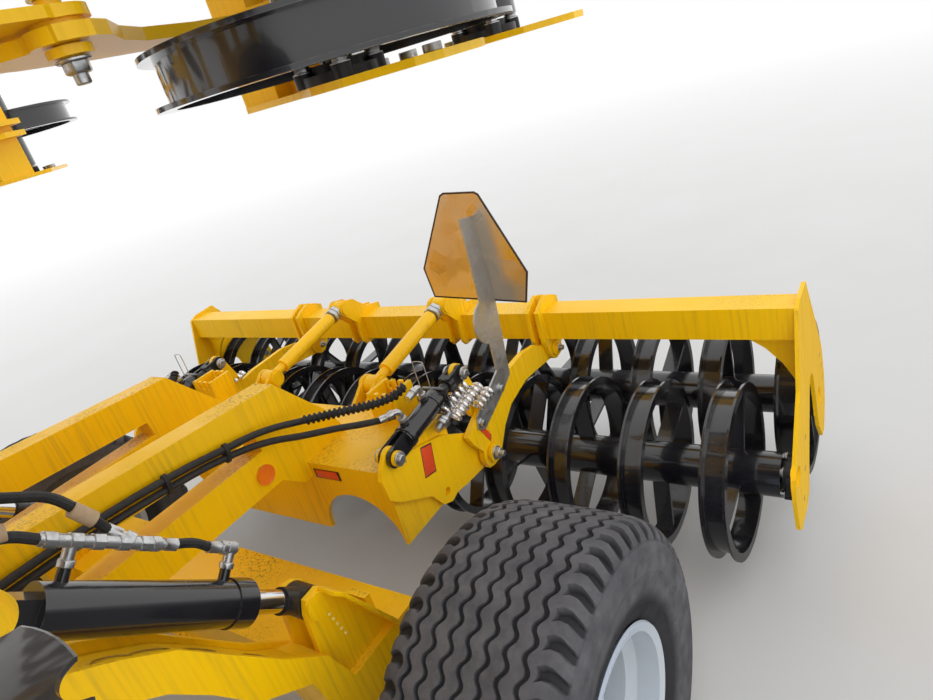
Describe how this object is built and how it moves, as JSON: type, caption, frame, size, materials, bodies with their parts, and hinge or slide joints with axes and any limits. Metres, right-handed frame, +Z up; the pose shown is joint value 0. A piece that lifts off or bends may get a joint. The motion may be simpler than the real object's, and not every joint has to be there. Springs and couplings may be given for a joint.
{
  "type": "folding trailed disc harrow",
  "caption": "Trailed disc harrow with folded wings, notched discs on rubber-held arms, swing axle, double ring rollers, hydraulic cylinders, drawbar with tow eye and jack.",
  "frame": {"origin": "on the ground, midway between the tow eye's front and the rear roller's back, on the centre line", "axes": "+X to the machine's right seen from behind, +Y to its rear, +Z up"},
  "size_m": [3, 5.965, 3.3106],
  "materials": {
    "yellow_paint": "gloss, streaked with dust",
    "black_paint": "gloss",
    "chrome": "polished",
    "zinc": "zinc plated",
    "disc_steel": "dark paint",
    "rim_paint": "silver white",
    "tyre": "matt"
  },
  "bodies": {
    "frame": {"main_frame": "yellow_paint", "frame_brackets": "yellow_paint", "centre_disc_arms": "yellow_paint", "centre_discs": "disc_steel"},
    "drawbar": {"drawbar": "yellow_paint", "tow_eye": "disc_steel", "jack_tube": "disc_steel"},
    "drawbar_barrel": {"drawbar_barrel": "black_paint"},
    "drawbar_rod": {"drawbar_rod": "chrome"},
    "jack_leg": {"jack_leg": "zinc"},
    "axle": {"axle_arms": "yellow_paint"},
    "wheel_right": {"tyre_right": "tyre", "rim_right": "rim_paint"},
    "wheel_left": {"tyre_left": "tyre", "rim_left": "rim_paint"},
    "lift_barrels": {"lift_barrels": "black_paint"},
    "lift_rods": {"lift_rods": "chrome"},
    "arms": {"roller_arms": "yellow_paint", "sign_bracket": "zinc", "sign_plate": "zinc"},
    "top_links": {"top_links": "yellow_paint"},
    "depth_barrels": {"depth_barrels": "black_paint"},
    "depth_rods": {"depth_rods": "chrome"},
    "roller_frame": {"roller_frame": "yellow_paint"},
    "front_roller": {"roller_front": "black_paint"},
    "rear_roller": {"roller_rear": "black_paint"},
    "wing_right": {"wing_frame_right": "yellow_paint", "wing_disc_arms_right": "yellow_paint", "wing_discs_right": "disc_steel"},
    "fold_barrel_right": {"fold_barrel_right": "black_paint"},
    "fold_rod_right": {"fold_rod_right": "chrome"},
    "wing_roller_right": {"wing_roller_frame_right": "yellow_paint"},
    "wing_front_roller_right": {"wing_roller_front_right": "black_paint"},
    "wing_rear_roller_right": {"wing_roller_rear_right": "black_paint"},
    "wing_depth_barrels_right": {"wing_depth_barrels_right": "black_paint"},
    "wing_depth_rods_right": {"wing_depth_rods_right": "chrome"},
    "wing_left": {"wing_frame_left": "yellow_paint", "wing_disc_arms_left": "yellow_paint", "wing_discs_left": "disc_steel"},
    "fold_barrel_left": {"fold_barrel_left": "black_paint"},
    "fold_rod_left": {"fold_rod_left": "chrome"},
    "wing_roller_left": {"wing_roller_frame_left": "yellow_paint"},
    "wing_front_roller_left": {"wing_roller_front_left": "black_paint"},
    "wing_rear_roller_left": {"wing_roller_rear_left": "black_paint"},
    "wing_depth_barrels_left": {"wing_depth_barrels_left": "black_paint"},
    "wing_depth_rods_left": {"wing_depth_rods_left": "chrome"}
  },
  "joints": [
    {"name": "axle_lift", "type": "hinge", "parent": "frame", "child": "axle", "pos_m": [0, 0.3075, 1.15], "axis": [1, 0, 0], "range_deg": [-4, 12]},
    {"name": "wheel_spin_right", "type": "hinge", "parent": "axle", "child": "wheel_right", "pos_m": [1.12, 1.3275, 0.437], "axis": [1, 0, 0], "continuous": true},
    {"name": "wheel_spin_left", "type": "hinge", "parent": "axle", "child": "wheel_left", "pos_m": [-1.12, 1.3275, 0.437], "axis": [1, 0, 0], "continuous": true},
    {"name": "lift_barrels_swing", "type": "hinge", "parent": "frame", "child": "lift_barrels", "pos_m": [0, 0.6475, 1.262], "axis": [1, 0, 0], "range_deg": [-5.35, 16.06]},
    {"name": "lift_rods_slide", "type": "slide", "parent": "lift_barrels", "child": "lift_rods", "axis": [0, 0.725, -0.6887], "range_m": [-0.0634, 0.0211]},
    {"name": "wing_fold_right", "type": "hinge", "parent": "frame", "child": "wing_right", "pos_m": [0.61, -0.2675, 0.89], "axis": [0, 1, 0], "range_deg": [0, 90]},
    {"name": "fold_barrel_swing_right", "type": "hinge", "parent": "frame", "child": "fold_barrel_right", "pos_m": [-0.265, -0.1725, 1.062], "axis": [0, 1, 0], "range_deg": [-12.84, 0]},
    {"name": "fold_rod_slide_right", "type": "slide", "parent": "fold_barrel_right", "child": "fold_rod_right", "axis": [0.9994, 0, -0.0352], "range_m": [0, 0.4003]},
    {"name": "wing_fold_left", "type": "hinge", "parent": "frame", "child": "wing_left", "pos_m": [-0.61, -0.2675, 0.89], "axis": [0, -1, 0], "range_deg": [0, 90]},
    {"name": "fold_barrel_swing_left", "type": "hinge", "parent": "frame", "child": "fold_barrel_left", "pos_m": [0.265, -0.3625, 1.062], "axis": [0, -1, 0], "range_deg": [-12.84, 0]},
    {"name": "fold_rod_slide_left", "type": "slide", "parent": "fold_barrel_left", "child": "fold_rod_left", "axis": [-0.9994, 0, -0.0352], "range_m": [0, 0.4003]},
    {"name": "roller_depth", "type": "hinge", "parent": "frame", "child": "arms", "pos_m": [0, 1.9595, 0.622], "axis": [1, 0, 0], "range_deg": [-14, 0]},
    {"name": "roller_frame_level", "type": "hinge", "parent": "arms", "child": "roller_frame", "pos_m": [0, 2.4775, 0.735], "axis": [1, 0, 0], "range_deg": [0, 14.3]},
    {"name": "top_links_swing", "type": "hinge", "parent": "frame", "child": "top_links", "pos_m": [0, 1.9175, 0.886], "axis": [1, 0, 0], "range_deg": [-16.28, 0]},
    {"name": "depth_barrels_swing", "type": "hinge", "parent": "frame", "child": "depth_barrels", "pos_m": [0, 1.5675, 0.877], "axis": [1, 0, 0], "range_deg": [-1.71, 0]},
    {"name": "depth_rods_slide", "type": "slide", "parent": "depth_barrels", "child": "depth_rods", "axis": [0, 0.99, 0.141], "range_m": [0, 0.0758]},
    {"name": "front_roller_spin", "type": "hinge", "parent": "roller_frame", "child": "front_roller", "pos_m": [0, 2.2475, 0.432], "axis": [1, 0, 0], "continuous": true},
    {"name": "rear_roller_spin", "type": "hinge", "parent": "roller_frame", "child": "rear_roller", "pos_m": [0, 2.7075, 0.432], "axis": [1, 0, 0], "continuous": true},
    {"name": "wing_roller_depth_right", "type": "hinge", "parent": "wing_right", "child": "wing_roller_right", "pos_m": [0.878, 1.0515, 2.5], "axis": [0, 0, 1], "range_deg": [-14, 0]},
    {"name": "wing_depth_barrels_swing_right", "type": "hinge", "parent": "wing_right", "child": "wing_depth_barrels_right", "pos_m": [0.623, 0.6595, 2.5], "axis": [0, 0, 1], "range_deg": [-1.71, 0]},
    {"name": "wing_depth_rods_slide_right", "type": "slide", "parent": "wing_depth_barrels_right", "child": "wing_depth_rods_right", "axis": [-0.141, 0.99, 0], "range_m": [0, 0.0758]},
    {"name": "wing_front_roller_spin_right", "type": "hinge", "parent": "wing_roller_right", "child": "wing_front_roller_right", "pos_m": [1.068, 1.3395, 2.5], "axis": [0, 0, 1], "continuous": true},
    {"name": "wing_rear_roller_spin_right", "type": "hinge", "parent": "wing_roller_right", "child": "wing_rear_roller_right", "pos_m": [1.068, 1.7995, 2.5], "axis": [0, 0, 1], "continuous": true},
    {"name": "wing_roller_depth_left", "type": "hinge", "parent": "wing_left", "child": "wing_roller_left", "pos_m": [-0.878, 1.0515, 2.5], "axis": [0, 0, -1], "range_deg": [-14, 0]},
    {"name": "wing_depth_barrels_swing_left", "type": "hinge", "parent": "wing_left", "child": "wing_depth_barrels_left", "pos_m": [-0.623, 0.6595, 2.5], "axis": [0, 0, -1], "range_deg": [-1.71, 0]},
    {"name": "wing_depth_rods_slide_left", "type": "slide", "parent": "wing_depth_barrels_left", "child": "wing_depth_rods_left", "axis": [0.141, 0.99, 0], "range_m": [0, 0.0758]},
    {"name": "wing_front_roller_spin_left", "type": "hinge", "parent": "wing_roller_left", "child": "wing_front_roller_left", "pos_m": [-1.068, 1.3395, 2.5], "axis": [0, 0, -1], "continuous": true},
    {"name": "wing_rear_roller_spin_left", "type": "hinge", "parent": "wing_roller_left", "child": "wing_rear_roller_left", "pos_m": [-1.068, 1.7995, 2.5], "axis": [0, 0, -1], "continuous": true},
    {"name": "drawbar_pitch", "type": "hinge", "parent": "frame", "child": "drawbar", "pos_m": [0, -0.9025, 0.69], "axis": [1, 0, 0], "range_deg": [-8, 4]},
    {"name": "drawbar_barrel_swing", "type": "hinge", "parent": "frame", "child": "drawbar_barrel", "pos_m": [0, -0.7225, 1.12], "axis": [1, 0, 0], "range_deg": [-4.78, 2.39]},
    {"name": "drawbar_rod_slide", "type": "slide", "parent": "drawbar_barrel", "child": "drawbar_rod", "axis": [0, -0.9249, -0.3801], "range_m": [-0.0481, 0.024]},
    {"name": "jack_slide", "type": "slide", "parent": "drawbar", "child": "jack_leg", "axis": [0, 0, 1], "range_m": [0, 0.26]}
  ],
  "couplings": [
    {"joint": "lift_barrels_swing", "follows": "axle_lift", "ratio": 1.312},
    {"joint": "lift_rods_slide", "follows": "axle_lift", "m_per_rad": -0.29656},
    {"joint": "fold_barrel_swing_right", "follows": "wing_fold_right", "ratio": -0.13988},
    {"joint": "fold_rod_slide_right", "follows": "wing_fold_right", "m_per_rad": 0.24982},
    {"joint": "fold_barrel_swing_left", "follows": "wing_fold_left", "ratio": -0.13988},
    {"joint": "fold_rod_slide_left", "follows": "wing_fold_left", "m_per_rad": 0.24982},
    {"joint": "roller_frame_level", "follows": "roller_depth", "ratio": -1},
    {"joint": "top_links_swing", "follows": "roller_depth", "ratio": 1.1397},
    {"joint": "depth_barrels_swing", "follows": "roller_depth", "ratio": 0.11958},
    {"joint": "depth_rods_slide", "follows": "roller_depth", "m_per_rad": -0.30432},
    {"joint": "wing_depth_barrels_swing_right", "follows": "wing_roller_depth_right", "ratio": 0.11958},
    {"joint": "wing_depth_rods_slide_right", "follows": "wing_roller_depth_right", "m_per_rad": -0.30432},
    {"joint": "wing_depth_barrels_swing_left", "follows": "wing_roller_depth_left", "ratio": 0.11958},
    {"joint": "wing_depth_rods_slide_left", "follows": "wing_roller_depth_left", "m_per_rad": -0.30432},
    {"joint": "drawbar_barrel_swing", "follows": "drawbar_pitch", "ratio": 0.5852},
    {"joint": "drawbar_rod_slide", "follows": "drawbar_pitch", "m_per_rad": 0.33756}
  ]
}
